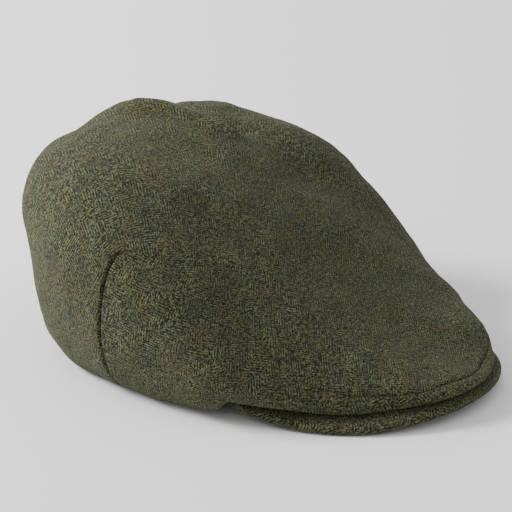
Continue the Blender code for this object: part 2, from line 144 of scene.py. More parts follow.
# Long seam between the top panel and a side panel: angle, and the way along the
# section from the crown's middle out to the seam (share of half the length).
LONG_SEAM = [
    (0, 1.318), (8, 1.290), (13, 1.268), (18, 1.228), (22, 1.193), (27, 1.155),
    (30.5, 1.122), (34, 1.090), (40, 1.000), (43, 0.940), (47, 0.880), (52, 0.812),
    (57, 0.760), (63, 0.715), (70, 0.695), (76, 0.686), (83, 0.705), (90, 0.760),
]
# Rear seam of a side panel: share of the way from the rim to the seam's top, angle.
REAR_SEAM = [(0.0, 92.2), (0.3, 92.7), (0.6, 92.1), (0.85, 91.4), (1.0, 90.0)]

HALF_WIDTH = CROWN_WIDTH / 2
HALF_LENGTH = CROWN_LENGTH / 2


def curve(xs, ys, x):
    """Smooth curve through the points (xs, ys), its slopes taken from the neighbours."""
    xs, ys = np.asarray(xs, float), np.asarray(ys, float)
    x = np.clip(np.asarray(x, float), xs[0], xs[-1])
    step = np.diff(xs)
    rate = np.diff(ys) / step
    slope = np.concatenate([
        rate[:1],
        (rate[:-1] * step[1:] + rate[1:] * step[:-1]) / (step[:-1] + step[1:]),
        rate[-1:],
    ])
    i = np.clip(np.searchsorted(xs, x, side="right") - 1, 0, len(step) - 1)
    t = (x - xs[i]) / step[i]
    return (ys[i] * (1 + 2 * t) * (1 - t) ** 2 + slope[i] * step[i] * t * (1 - t) ** 2
            + ys[i + 1] * t * t * (3 - 2 * t) + slope[i + 1] * step[i] * t * t * (t - 1))


def ease(low, high, x):
    """0 below low, 1 above high, smooth between."""
    s = np.clip((x - low) / (high - low), 0, 1)
    return s * s * (3 - 2 * s)


def from_front(angle):
    """Angle from the front, 0 to 180, on either side."""
    return np.abs((np.asarray(angle, float) + 180.0) % 360.0 - 180.0)


def section(name, angle):
    """One column of SECTIONS at any angle, mirrored about the front and the back."""
    k = SECTION.index(name)
    rows = [(-SECTIONS[1][0], SECTIONS[1][k])] + [(r[0], r[k]) for r in SECTIONS]
    rows.append((360 - SECTIONS[-2][0], SECTIONS[-2][k]))
    return curve([r[0] for r in rows], [r[1] for r in rows], from_front(angle))


def peak_outline(turn):
    """Outer edge of the peak at an angle about its own middle, 0 at the front."""
    turn = np.radians(turn)
    return PEAK_WIDTH / 2 * np.sin(turn), -PEAK_START - PEAK_DEPTH * np.cos(turn)


def peak_place(x, y):
    """Angle of (x, y) about the peak's middle and its distance inward from the edge."""
    across, ahead = np.abs(x) / (PEAK_WIDTH / 2), (-PEAK_START - y) / PEAK_DEPTH
    reach = np.maximum(np.hypot(across, ahead), 1e-6)
    length = np.hypot(x, -PEAK_START - y)
    return np.degrees(np.arctan2(across, ahead)), np.maximum(length / reach - length, 0.0)


def peak_underside(x, y):
    """Height of the peak's underside, or of the same slope carried on past its ends."""
    turn, inset = peak_place(x, y)
    rows = [(-PEAK_LIFTS[1][0], PEAK_LIFTS[1][1])] + PEAK_LIFTS
    lift = curve([r[0] for r in rows], [r[1] for r in rows], turn)
    return PEAK_LIFT + PEAK_ARCH * lift + PEAK_TILT * inset


def peak_radius(angle):
    """Distance of the peak's outer edge from the crown's middle at each angle."""
    x, y = peak_outline(np.linspace(0, 115, 461))
    turn = np.degrees(np.arctan2(x, CROWN_MIDDLE - y))
    return np.interp(from_front(angle), turn, np.hypot(x, CROWN_MIDDLE - y))


def low_edge(angle):
    """Radius and height of the crown's lower edge, on the peak in front, then the rim."""
    away = ease(TEMPLE_RIM[0], TEMPLE_RIM[1], from_front(angle))
    fold = peak_radius(angle) - PEAK_SHOW * section("show", angle)
    radius = fold * (1 - away) + section("rim", angle) * HALF_WIDTH * away
    turn = np.radians(angle)
    x, y = fold * np.sin(turn), CROWN_MIDDLE - fold * np.cos(turn)
    on_peak = peak_underside(x, y) + PEAK_THICKNESS + SEAT_GAP
    rim_z = np.maximum(section("rim_z", angle), 0) * CROWN_HEIGHT
    height = on_peak * (1 - away) + rim_z * away
    return radius, height, fold, on_peak


def profiles(angle):
    """Fine half sections from the lower edge to the crown's middle: radius and height."""
    low, low_z, fold, on_peak = low_edge(angle)
    side = ease(TEMPLE_WALL[0], TEMPLE_WALL[1], from_front(angle))
    wide = (fold + FOLD_BULGE) * (1 - side) + section("wide", angle) * HALF_WIDTH * side
    wide_z = (on_peak + FOLD_HEIGHT / 2) * (1 - side) + section("wide_z", angle) * CROWN_HEIGHT
    wide_z = np.maximum(wide_z, low_z + FOLD_HEIGHT / 2)
    full = section("full", angle)
    up = np.linspace(0, np.pi / 2, 60)[None, :-1]
    wall_r = low[:, None] + (wide - low)[:, None] * np.sin(up)
    wall_z = wide_z[:, None] - (wide_z - low_z)[:, None] * np.cos(up)
    share = np.cos(np.linspace(0, np.pi / 2, 240))[None, :]
    top_r = wide[:, None] * share
    along = -top_r * np.cos(np.radians(angle))[:, None] / HALF_LENGTH
    fold_top = low_edge(np.zeros(1))[1][0] + FOLD_HEIGHT
    rise = curve([r[0] for r in RIDGE], [r[1] for r in RIDGE], along)
    ridge = fold_top + rise * (CROWN_HEIGHT - fold_top)
    lift = np.sqrt(np.clip(1 - share ** full[:, None], 0, 1))
    top_z = wide_z[:, None] + (ridge - wide_z[:, None]) * lift
    return np.concatenate([wall_r, top_r], 1), np.concatenate([wall_z, top_z], 1)


def normals_of(points):
    """Outward normals of the ring of sections, one shared normal at the middle."""
    ring = np.roll(points, -1, 0) - np.roll(points, 1, 0)
    up = np.gradient(points, axis=1)
    normal = np.cross(ring, up)
    normal[:, -1] = normal[:, -3].sum(0)
    return normal / np.maximum(np.linalg.norm(normal, axis=-1, keepdims=True), 1e-12)


def dent_depth(points, rise):
    """How far each point moves inward for the rows of DENTS and FOLDS, where rise is
    its way up the section from the lower edge."""
    scale = np.array([HALF_WIDTH, HALF_LENGTH, CROWN_HEIGHT])
    shift = np.array([0.0, CROWN_MIDDLE, 0.0])
    depth = np.zeros(points.shape[:-1])
    for row in DENTS + FOLDS:
        dent = dict(zip(DENT, row))
        start = np.array([dent["x0"], dent["y0"], dent["z0"]]) * scale + shift
        line = np.array([dent["x1"], dent["y1"], dent["z1"]]) * scale + shift - start
        along = np.clip(((points - start) @ line) / (line @ line), 0, 1)
        gap = np.linalg.norm(points - start - along[..., None] * line, axis=-1)
        width = dent["width"] * HALF_WIDTH
        depth += dent["depth"] * CROWN_HEIGHT * np.exp(-(gap / width) ** 2)
    return depth * ease(0, DENT_FADE, rise)


RING_ANGLES = np.arange(0.0, 360.0, 1.0)
RING_SHARES = np.linspace(0.0, 1.0, 241)


def crown_shell():
    """Points, normals and section lengths of the crown's outer face on a fine grid."""
    radius, height = profiles(RING_ANGLES)
    step = np.hypot(np.diff(radius, axis=1), np.diff(height, axis=1))
    length = np.concatenate([np.zeros((len(radius), 1)), np.cumsum(step, 1)], 1)
    r, z = np.empty((2, len(radius), len(RING_SHARES)))
    for i, total in enumerate(length[:, -1]):
        r[i] = np.interp(RING_SHARES * total, length[i], radius[i])
        z[i] = np.interp(RING_SHARES * total, length[i], height[i])
    turn = np.radians(RING_ANGLES)[:, None]
    points = np.stack([r * np.sin(turn), CROWN_MIDDLE - r * np.cos(turn), z], -1)
    rise = RING_SHARES[None, :] * length[:, -1:]
    points = points - normals_of(points) * dent_depth(points, rise)[..., None]
    return points, normals_of(points), length[:, -1]


SHELL_POINTS, SHELL_NORMALS, SHELL_LENGTHS = crown_shell()


def on_shell(table, angle, share):
    """Value of a grid of the shell at any angle and share of the way up."""
    angle, share = np.broadcast_arrays(np.asarray(angle, float) % 360.0, share)
    i = np.floor(angle).astype(int) % len(RING_ANGLES)
    u = (angle - np.floor(angle))[..., None]
    place = np.clip(share, 0, 1) * (len(RING_SHARES) - 1)
    j = np.clip(np.floor(place).astype(int), 0, len(RING_SHARES) - 2)
    v = (place - j)[..., None]
    n = (i + 1) % len(RING_ANGLES)
    return ((table[i, j] * (1 - u) + table[n, j] * u) * (1 - v)
            + (table[i, j + 1] * (1 - u) + table[n, j + 1] * u) * v)


def seam_share(angle):
    """Share of the way up at which the long seam crosses each angle."""
    rows = [(-LONG_SEAM[1][0], LONG_SEAM[1][1])] + LONG_SEAM
    reach = curve([r[0] for r in rows], [r[1] for r in rows], from_front(angle))
    length = np.interp(from_front(angle), RING_ANGLES[:181], SHELL_LENGTHS[:181])
    return 1 - reach * HALF_LENGTH / length


def half_gap_share(angle):
    """Half of the seam's gap, measured square to the seam, as a share of the section."""
    share, step = seam_share(angle), 0.002
    up = (on_shell(SHELL_POINTS, angle, share + step)
          - on_shell(SHELL_POINTS, angle, share - step)) / (2 * step)
    along = (on_shell(SHELL_POINTS, angle + 1, seam_share(angle + 1))
             - on_shell(SHELL_POINTS, angle - 1, seam_share(angle - 1)))
    along = along / np.linalg.norm(along, axis=-1, keepdims=True)
    return SEAM_GAP / 2 / np.linalg.norm(np.cross(up, along), axis=-1)


CORNER_ANGLE = REAR_SEAM[-1][1]
CORNER_SHARE = float(seam_share(np.array(CORNER_ANGLE)))
HALF_GAP_ANGLE = np.degrees(SEAM_GAP / 2 / HALF_WIDTH)


def rear_seam_angle(share):
    return curve([r[0] for r in REAR_SEAM], [r[1] for r in REAR_SEAM], share / CORNER_SHARE)


# Fine grids of the visible pieces
STRIP_COLUMNS = 120           # from the middle of the front to the peak's end
TEMPLE_COLUMNS = 16           # where the lower edge comes down off the peak
CHEEK_COLUMNS = 50            # from there to the rear seam, closer together towards it
BACK_COLUMNS = 150            # round the back between the rear seams
TOP_ROWS = 70                 # from the long seam to the crown's middle
WALL_ROWS = 52                # from the lower edge to the seam corners
HEM_ROWS = 5                  # round the folded lower edge
PEAK_COLUMNS = 220
PEAK_ROWS = 36                # across each face of the peak
PEAK_EDGE_STEPS = 12          # round its outer edge
PEAK_ROUND = 0.0022           # depth of the half ellipse of its outer edge
CHEEK_CROWD = 1.8             # how much closer the columns and rows stand near a seam
WALL_CROWD = 1.5
TOP_CROWD = 1.6
BACK_CROWD = 0.9
WELD = 2e-6                   # points closer than this are one

# Cloth detail
FURROW_DEPTH = 0.0003         # of the long seams, pressed nearly flat
FURROW_WIDTH = 0.0008
SEAM_PUFF = 0.12              # swelling beside a seam, as a share of its furrow's depth
SEAM_PUFF_WIDTH = 0.004
HEM_ROUND = CLOTH / 2         # radius of the folded lower edge
FRONT_FURROW = 0.0008         # of the long seams above the front fold
CORNER_FURROW = 0.0020        # of the long seams where they hook round from the rear seams
REAR_FURROW = 0.0024          # of the open-looking rear seams
FRONT_FADE = (30, 55)         # angles over which the front furrow dies out
HOOK_START = 86.5             # angle at which a long seam begins to hook round
LUMPS = ((0.048, 0.0009), (0.021, 0.0004), (0.010, 0.00018))    # wavelength, height
LUMP_SEED = 11
LUMP_FADE = (0.002, 0.012)    # way up from the lower edge over which the lumps come in
FURROW_FADE = (0.001, 0.005)  # the same for the furrows

# Coarse grid of the cloth fields: degrees, and rows of RING_SHARES
FIELD_STEP = 8
FIELD_ROWS = (
    0, 2, 4, 6, 8, 10, 13, 17, 24, 36, 48, 60, 72, 84, 96, 108, 120, 132, 144, 156,
    168, 180, 192, 204, 216, 228, 240,
)
UNUSED_CARE = 0.003           # weight of the cloth that a panel doesn't cover
RING_CARE = 1e3               # weight that closes a field round the front
BACK_CLOTH = 84               # the top panel's cloth reaches the rim behind this angle
CHEEK_CLOTH = 96              # the side panels' cloth ends at this angle
SPARE_SHARE = 0.06            # share of the way up that a field goes past the long seam

# Herringbone
TOP_EASE = (1.13, 1.05)       # makes up for the stretch of the top's cloth over its bulge
STRIPE = 0.00725              # width of one stripe
TWILL = 0.0020                # from one twill line to the next, along the stripe
FLOAT = 0.0034                # length of a yarn's float along the twill line
SIDE_GRAIN = 34.0             # degrees that a side panel's stripes climb towards the front
FRONT_GRAIN = 75.0            # the same where the panel reaches the middle of the front
GRAIN_TURN = 60               # angle over which one turns into the other

TWEED = dict(
    dark=(0.0010, 0.0014, 0.0008), light=(0.136, 0.155, 0.074),
    rust=(0.115, 0.052, 0.018), moss=(0.098, 0.098, 0.022), teal=(0.012, 0.060, 0.066),
    fibre=(0.165, 0.170, 0.110), brown=(0.032, 0.022, 0.009), blue=(0.010, 0.021, 0.023),
)

# Coloured flecks: colour, levels of the noise between which they start, strength
FLECKS = [("moss", 0.54, 0.62, 0.55), ("rust", 0.56, 0.65, 0.55), ("teal", 0.56, 0.65, 0.50)]

TURN = 6.2832                 # radians in a full turn
STRIPE_JUMP = 7.3             # step in the yarns' noise from one stripe to the next
WOBBLE = (0.0012, 0.0008)     # how far the lines stray, across and along the stripes

# Noises of the tweed: scale per metre of cloth, but yarn per yarn and float
# the pits' noise, levels and strength below set where painted shade darkens the gaps between
# the yarns
NOISE = dict(
    stray_across=180.0, stray_along=260.0, breaks=210.0, yarn=2.2, weft=2100.0,
    heather=470.0, fleck=620.0, crowd=60.0, patches=75.0, cool=95.0, fibre=1250.0,
    shaded_pit=1050.0,
)
FLECK_STEP = 90.0             # how much finer each further colour of fleck is

# Levels between which each rises from nothing to full
LEVELS = dict(
    breaks=(0.24, 0.68), lit=(0.62, 0.94), crowd=(0.40, 0.70), patches=(0.35, 0.65),
    cool=(0.50, 0.72), fibre=(0.60, 0.70), shaded_pit=(0.44, 0.34),
)

# Strength of each in the brightness (line, weft, heather) or in the colour
STRENGTH = dict(
    line=0.28, weft=0.45, heather=0.36, patches=0.28, cool=0.30, fibre=0.55, shaded_pit=0.75,
)

# Studio: place as right, towards the camera and up from the target, size, watts
LIGHTS = [
    ("key", (-1.15, -0.15, 0.85), 0.5, 30.0),
    ("back", (-0.2, -1.3, 0.9), 0.8, 4.0),
]
SKY = 0.85
FLOOR_SIZE = 3.0

# Camera, taken from the photograph
AZIMUTH = -55.0
ELEVATION = 22.0
DISTANCE = 1.30
LENS = 170.0
SENSOR_WIDTH = 36.0
TARGET = (0.0, -0.02, 0.045)      # in the frame of the tables
AIM_RIGHT = -0.0072
AIM_UP = 0.0084

peak_low, peak_high = (np.array(corner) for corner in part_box("peak"))
OFFSET = np.array([
    (peak_low[0] + peak_high[0]) / 2,
    peak_low[1] + PEAK_START + PEAK_DEPTH,
    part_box("top_panel")[0][2],
])


def lumps(points, waves, seed):
    """Soft unevenness: for each wavelength, the mean of a dozen sine waves that run in
    seeded directions through space, times its height."""
    rng = np.random.default_rng(seed)
    total = np.zeros(points.shape[:-1])
    for length, height in waves:
        ways = rng.normal(size=(12, 3))
        ways *= 2 * np.pi / (length * np.linalg.norm(ways, axis=1, keepdims=True))
        total += height * np.sin(points @ ways.T + rng.uniform(0, 7, 12)).mean(-1) * 2.2
    return total


def spread(xs, fine):
    """Matrix that carries values at xs to the places in fine along smooth curves."""
    return np.stack([curve(xs, row, fine) for row in np.eye(len(xs))], 1)


def cloth_fields(ways, needed, closed):
    """Scalar fields on the shell, one for each set of unit vectors in ways, that rise
    by one metre per metre along them. They are the least-squares fit of their steps
    along the edges of a coarse grid, each weighted by the width of cloth it stands for
    over its length and hardly at all where needed is false, carried to the fine grid
    along smooth curves. Unless closed, the two sides of the front needn't meet."""
    ring = np.arange(0, 361, FIELD_STEP)
    rows = np.array(FIELD_ROWS)
    pick = np.ix_(np.minimum(ring, 359), rows)
    points = SHELL_POINTS[np.ix_(ring % 360, rows)]
    care = np.where(needed[pick], 1.0, UNUSED_CARE)
    number = np.arange(care.size).reshape(care.shape)
    round_step = np.linalg.norm(np.diff(points, axis=0, append=points[-2:-1]), axis=-1)
    up_step = np.linalg.norm(np.diff(points, axis=1), axis=-1)
    tall = np.pad(up_step, ((0, 0), (1, 0)), "edge")
    wide = (round_step[:, 1:] + round_step[:, :-1]) / 2
    weights = (
        (tall * care / np.maximum(round_step, 1e-5))[:-1],
        wide * care[:, 1:] / up_step,
        np.full(len(rows), RING_CARE if closed else 0.0),
    )
    ends = ((number[:-1], number[1:]), (number[:, :-1], number[:, 1:]), (number[0], number[-1]))
    system = np.zeros((number.size, number.size))
    pull = np.zeros((number.size, len(ways)))
    flat_points = points.reshape(-1, 3)
    for (a, b), weight in zip(ends, weights):
        a, b, weight = a.ravel(), b.ravel(), weight.ravel()
        for first, second in ((a, b), (b, a)):
            np.add.at(system, (first, first), weight)
            np.add.at(system, (first, second), -weight)
        for k, way in enumerate(ways):
            way = way[pick].reshape(-1, 3)
            rise = ((flat_points[b] - flat_points[a]) * (way[a] + way[b]) / 2).sum(-1)
            np.add.at(pull, (b, k), weight * rise)
            np.add.at(pull, (a, k), -weight * rise)
    system[0, 0] += 1
    value = np.linalg.solve(system, pull).reshape(*number.shape, len(ways))
    if closed:
        ring = np.concatenate([ring[-5:-1] - 360, ring, ring[1:5] + 360])
        value = np.concatenate([value[-5:-1], value, value[1:5]])
    around = spread(ring, RING_ANGLES)
    upward = spread(rows, np.arange(len(RING_SHARES)))
    return np.einsum("ij,jkc,lk->ilc", around, value, upward, optimize=True)


def tangent(ways, normals):
    flat = ways - (ways * normals).sum(-1, keepdims=True) * normals
    return flat / np.maximum(np.linalg.norm(flat, axis=-1, keepdims=True), 1e-9)


def top_weave():
    """Cloth coordinates of the top panel: V runs front to back over the crown and down
    the back, and U runs square to it."""
    n = SHELL_NORMALS
    back = np.stack([0 * n[..., 0], np.abs(n[..., 2]) + np.abs(n[..., 0]), -n[..., 1]], -1)
    along = tangent(back, n)
    beyond = from_front(RING_ANGLES)[:, None] > BACK_CLOTH
    seam = seam_share(RING_ANGLES)[:, None]
    needed = beyond | (RING_SHARES[None, :] > seam - SPARE_SHARE)
    return cloth_fields([np.cross(along, n), along], needed, True) * TOP_EASE


def side_weave():
    """Cloth coordinates of the side panels: V climbs towards the front at SIDE_GRAIN,
    turning to FRONT_GRAIN at the middle of the front, and U runs square to it."""
    n = SHELL_NORMALS
    mirror = np.where(RING_ANGLES > 180, -1.0, 1.0)[:, None, None]
    ahead = tangent((np.roll(SHELL_POINTS, 1, 0) - np.roll(SHELL_POINTS, -1, 0)) * mirror, n)
    up = tangent(np.gradient(SHELL_POINTS, axis=1), n)
    front = 1 - ease(0, GRAIN_TURN, from_front(RING_ANGLES))
    lean = np.radians(SIDE_GRAIN + (FRONT_GRAIN - SIDE_GRAIN) * front)[:, None, None]
    along = np.cos(lean) * ahead + np.sin(lean) * up
    before = from_front(RING_ANGLES)[:, None] < CHEEK_CLOTH
    seam = seam_share(RING_ANGLES)[:, None]
    needed = before & (RING_SHARES[None, :] < seam + SPARE_SHARE)
    return cloth_fields([np.cross(along, n) * mirror, along], needed, False)


def seam_relief(gap, depth):
    """Depth of the cloth beside a seam at a distance from it: a narrow furrow, less a
    low swelling over the turned-in cloth."""
    puff = SEAM_PUFF * depth * np.exp(-((gap - 1.2 * SEAM_PUFF_WIDTH) / SEAM_PUFF_WIDTH) ** 2)
    return depth * np.exp(-(gap / FURROW_WIDTH) ** 2) - puff


SHELL_RISE = RING_SHARES[None, :, None] * SHELL_LENGTHS[:, None, None]


def panel_faces(angle, share, furrow):
    """Outer and inner face of a panel on a grid of angles and shares. The outer face is
    moved along its normal by the soft lumps less the furrows, both dying out at the
    lower edge, and the inner face lies one cloth inside it. Below HEM_ROUND both faces
    draw together on a quarter circle each, so that the edge is round."""
    angle, share = np.broadcast_arrays(angle, share)
    base = on_shell(SHELL_POINTS, angle, share)
    normal = on_shell(SHELL_NORMALS, angle, share)
    normal = normal / np.linalg.norm(normal, axis=-1, keepdims=True)
    rise = on_shell(SHELL_RISE, angle, share)
    push = lumps(base, LUMPS, LUMP_SEED)[..., None] * ease(*LUMP_FADE, rise)
    push = push - furrow[..., None] * ease(*FURROW_FADE, rise)
    outer = base + normal * push
    inner = outer - normal * CLOTH
    flat = normal * np.array([1.0, 1.0, 0.0])
    reach = np.maximum(np.linalg.norm(flat, axis=-1, keepdims=True), 1e-9)
    level = base - flat / reach * CLOTH
    seat = peak_underside(level[..., 0], level[..., 1]) + PEAK_THICKNESS + SEAT_GAP
    front = 1 - ease(TEMPLE_RIM[0], TEMPLE_RIM[1], from_front(angle))
    level[..., 2] += np.maximum(seat - level[..., 2], 0) * front
    near = np.clip(rise / HEM_ROUND, 0, 1)
    inner = level * (1 - near) + inner * near
    middle = (outer + inner) / 2
    part = np.sqrt(np.clip(1 - (1 - near) ** 2, 0, 1))
    return middle + (outer - middle) * part, middle + (inner - middle) * part


def up_rows(angle, top):
    """Shares of the way up for the rows of a wall: round the lower edge, then to the
    given top, closer together towards it."""
    length = on_shell(SHELL_RISE, angle, np.ones(1))[..., 0]
    turn = np.linspace(0, np.pi / 2, HEM_ROWS + 1)
    edge = HEM_ROUND * (1 - np.cos(turn)) / length
    even = 1 - np.linspace(1, 0, WALL_ROWS + 1)[None, 1:] ** WALL_CROWD
    return np.concatenate([edge, edge[:, -1:] + (top - edge[:, -1:]) * even], 1)


def front_angles():
    """Columns from the middle of the front to the rear seam's top corner."""
    cheek = np.linspace(1, 0, CHEEK_COLUMNS + 1)
    return np.concatenate([
        np.linspace(0, TEMPLE_RIM[0], STRIP_COLUMNS + 1)[:-1],
        np.linspace(TEMPLE_RIM[0], TEMPLE_RIM[1], TEMPLE_COLUMNS + 1)[:-1],
        CORNER_ANGLE - (CORNER_ANGLE - TEMPLE_RIM[1]) * cheek ** CHEEK_CROWD,
    ])


def long_gap(angle, share):
    """Distance from the long seam, square to it."""
    scale = SEAM_GAP / 2 / half_gap_share(angle)
    return np.abs(share - seam_share(angle)) * scale


def long_depth(angle):
    """Depth of the long seam's furrow: pressed flat along the side, deeper along the
    front fold and at the hook at the rear seam's top."""
    away = from_front(angle)
    front = (FRONT_FURROW - FURROW_DEPTH) * (1 - ease(*FRONT_FADE, away))
    corner = (CORNER_FURROW - FURROW_DEPTH) * ease(HOOK_START, CORNER_ANGLE, away)
    return FURROW_DEPTH + front + corner


def rear_depth(share):
    """Depth of the rear seam's furrow: shallower at the lower edge and at the corner."""
    part = share / CORNER_SHARE
    depth = REAR_FURROW * (0.5 + 0.5 * ease(0.0, 0.35, part))
    return depth + (CORNER_FURROW - depth) * ease(0.80, 1.0, part)


def patch(points, uv, flip=False):
    """A grid of points as (vertices, their cloth coordinates, quads)."""
    rows, columns = points.shape[:2]
    number = np.arange(rows * columns).reshape(rows, columns)
    quads = np.stack([number[:-1, :-1], number[1:, :-1], number[1:, 1:], number[:-1, 1:]], -1)
    quads = quads.reshape(-1, 4)
    return points.reshape(-1, 3), uv.reshape(-1, 2), quads[:, ::-1] if flip else quads


def add_piece(name, patches):
    """Joins patches into one closed mesh with a UV map, welding the edges they share."""
    starts = np.cumsum([0] + [len(p[0]) for p in patches])
    points = np.concatenate([p[0] for p in patches]) + OFFSET
    uv = np.concatenate([p[1] for p in patches])
    quads = np.concatenate([p[2] + start for p, start in zip(patches, starts)])
    mesh = bpy.data.meshes.new(name)
    mesh.from_pydata(points, [], quads)
    layer = mesh.uv_layers.new(name="cloth")
    corner = np.empty(len(mesh.loops), np.int32)
    mesh.loops.foreach_get("vertex_index", corner)
    layer.data.foreach_set("uv", uv[corner].astype(np.float32).ravel())
    bm = bmesh.new()
    bm.from_mesh(mesh)
    bmesh.ops.remove_doubles(bm, verts=bm.verts, dist=WELD)
    bmesh.ops.dissolve_degenerate(bm, edges=bm.edges, dist=1e-7)
    bmesh.ops.recalc_face_normals(bm, faces=bm.faces)
    bm.to_mesh(mesh)
    bm.free()
    mesh.polygons.foreach_set("use_smooth", np.ones(len(mesh.polygons), bool))
    piece = bpy.data.objects.new(name, mesh)
    bpy.context.collection.objects.link(piece)
    return piece


def edge_strip(outer, inner, uv, flip=False):
    """Wall of two rows between the edges of an outer and an inner face."""
    middle = (outer + inner) / 2
    return patch(np.stack([outer, middle, inner]), np.stack([uv, uv, uv]), flip)


def side_panel(name, side, weave):
    """One side panel, from the lower edge up to the long seam and from the rear seam
    forward to the middle of the front: the shell's points at (angle, share)."""
    columns = front_angles()[:, None]
    share = up_rows(columns, seam_share(columns) - half_gap_share(columns))
    rear = rear_seam_angle(share) - HALF_GAP_ANGLE
    fixed = TEMPLE_RIM[1]
    cheek = fixed + (columns - fixed) * (rear - fixed) / (CORNER_ANGLE - fixed)
    angle = np.where(columns > fixed, cheek, np.maximum(columns, HALF_GAP_ANGLE))
    behind = np.radians(rear_seam_angle(share) - angle) * HALF_WIDTH
    furrow = np.maximum(seam_relief(long_gap(angle, share), long_depth(angle)),
                        seam_relief(behind, rear_depth(share)))
    furrow = np.maximum(furrow, seam_relief(np.radians(angle) * HALF_WIDTH, FURROW_DEPTH))
    outer, inner = panel_faces(side * angle, share, furrow)
    uv = on_shell(weave, side * angle, share)
    away = side > 0
    patches = [patch(outer, uv, not away), patch(inner, uv, away)]
    for pick, turned in ((np.s_[:, -1], away), (np.s_[0], away), (np.s_[-1], not away)):
        patches.append(edge_strip(outer[pick], inner[pick], uv[pick], turned))
    return add_piece(name, patches)


def top_panel(name, weave):
    """The top panel: sections from the long seam to the crown's middle all the way
    round, and the back below them down to the rim between the rear seams."""
    half = front_angles()
    front = np.concatenate([-half[:0:-1], half])
    shift = np.where(np.abs(front) > CORNER_ANGLE - 1e-6, HALF_GAP_ANGLE, 0)
    across = np.linspace(0, 1, BACK_COLUMNS + 1)
    across = across - BACK_CROWD * np.sin(2 * np.pi * across) / (2 * np.pi)
    first = CORNER_ANGLE + HALF_GAP_ANGLE
    back = first + across * (360 - 2 * first)
    ring = np.concatenate([(front + np.sign(front) * shift)[:-1], back])
    start = np.full(len(ring), CORNER_SHARE)
    start[:len(front)] = seam_share(front) + half_gap_share(front)
    start[[0, len(front) - 1]] = CORNER_SHARE
    rows = np.linspace(0, 1, TOP_ROWS + 1)[None, :] ** TOP_CROWD
    share = start[:, None] + rows * (1 - start[:, None])
    angle = ring[:, None] + 0 * share
    length = on_shell(SHELL_RISE, angle, np.ones(1))[..., 0]
    beside = np.radians(np.maximum(from_front(angle) - CORNER_ANGLE, 0)) * HALF_WIDTH
    gap = np.where(from_front(angle) < CORNER_ANGLE, long_gap(angle, share),
                   np.hypot((share - CORNER_SHARE) * length, beside))
    outer, inner = panel_faces(angle, share, seam_relief(gap, long_depth(angle)))
    uv = on_shell(weave, angle, share)
    edge = slice(0, len(front))
    patches = [
        patch(outer, uv, True), patch(inner, uv),
        edge_strip(outer[edge, 0], inner[edge, 0], uv[edge, 0]),
    ]
    across = across[:, None]
    share = up_rows(back[:, None], np.full((len(back), 1), CORNER_SHARE))
    rear = rear_seam_angle(share) + HALF_GAP_ANGLE
    angle = rear + across * (360 - 2 * rear)
    behind = np.radians(from_front(angle) - rear_seam_angle(share)) * HALF_WIDTH
    behind = np.minimum(np.abs(behind), 0.08)
    outer, inner = panel_faces(angle, share, seam_relief(behind, rear_depth(share)))
    uv = on_shell(weave, angle, share)
    patches += [patch(outer, uv, True), patch(inner, uv)]
    patches.append(edge_strip(outer[0], inner[0], uv[0], True))
    patches.append(edge_strip(outer[-1], inner[-1], uv[-1]))
    return add_piece(name, patches)


def peak(name):
    """The peak: loops from the concave forehead edge over the upper face, round the
    outer edge on a half ellipse and back along the underside."""
    turn = np.linspace(-90, 90, PEAK_COLUMNS + 1)
    edge_x, edge_y = peak_outline(turn)
    lean = PEAK_END * np.sqrt(0.5)
    back_x = np.sin(np.radians(turn)) * (PEAK_WIDTH / 2 - lean)
    back_y = -PEAK_START + lean - PEAK_BACK_RISE * np.cos(np.radians(turn))
    chord = np.hypot(back_x - edge_x, back_y - edge_y)
    across = np.linspace(0, 1, PEAK_ROWS + 1)[:, None]
    swing = np.linspace(np.pi / 2, -np.pi / 2, PEAK_EDGE_STEPS + 1)[1:-1, None]
    back = np.concatenate([across[::-1], 0 * swing, across])
    inset = np.concatenate([0 * across, -np.cos(swing), 0 * across]) * PEAK_ROUND + PEAK_ROUND
    level = np.concatenate([0 * across + 1, (1 + np.sin(swing)) / 2, 0 * across])
    share = back + (1 - back) * inset / chord
    x = edge_x + (back_x - edge_x) * share
    y = edge_y + (back_y - edge_y) * share
    z = peak_underside(x, y) + level * PEAK_THICKNESS
    loops = np.stack([x, y, z], -1)
    step = np.linalg.norm(np.diff(loops, axis=0, prepend=loops[:1]), axis=-1)
    walk = np.cumsum(step, 0)
    turned = np.arange(len(loops))[:, None] > PEAK_ROWS
    past = np.where(turned, walk - walk[PEAK_ROWS], 0) / chord
    uv = np.stack([
        np.where(turned, x[PEAK_ROWS], x) + past * (edge_x - back_x),
        np.where(turned, y[PEAK_ROWS], y) + past * (edge_y - back_y),
    ], -1)
    closed = np.concatenate([loops, loops[:1]])
    patches = [patch(closed, np.concatenate([uv, uv[:1]]))]
    middle = len(loops) // 2
    for k, flip in ((0, False), (-1, True)):
        first, second = loops[:middle + 1, k], loops[::-1][:middle + 1, k]
        pair = np.stack([first, second])
        patches.append(patch(pair, np.stack([uv[:middle + 1, k]] * 2), flip))
    return add_piece(name, patches)


